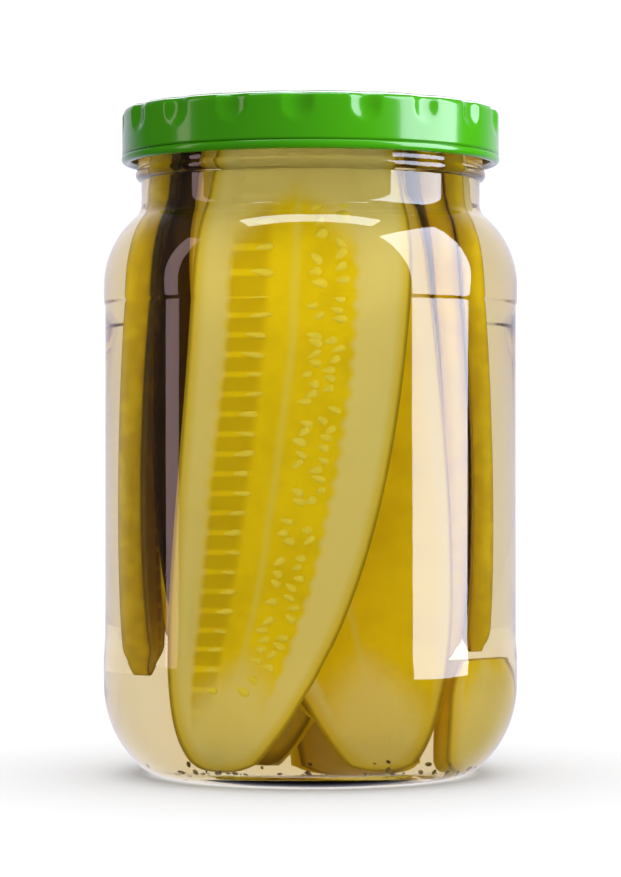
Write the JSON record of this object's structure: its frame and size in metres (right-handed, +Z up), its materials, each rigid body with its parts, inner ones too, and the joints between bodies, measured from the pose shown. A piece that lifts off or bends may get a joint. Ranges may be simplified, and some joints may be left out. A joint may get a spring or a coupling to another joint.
{
  "type": "jar of pickles",
  "caption": "Round clear glass jar of sliced pickles in brine, closed by a fluted green twist-off lid.",
  "frame": {"origin": "centre of the standing ring under the jar, on the surface that it stands on", "axes": "+Z up along the jar's axis of revolution; +X to the right and -Y towards the viewer of the front"},
  "size_m": [0.093, 0.093, 0.1492],
  "materials": {
    "glass": "clear, polished",
    "brine": "clear pale yellow brine",
    "lid_paint": "gloss green lacquer on sheet steel"
  },
  "bodies": {
    "root": {"jar": "glass", "brine": "brine", "lid": "lid_paint"}
  },
  "joints": []
}
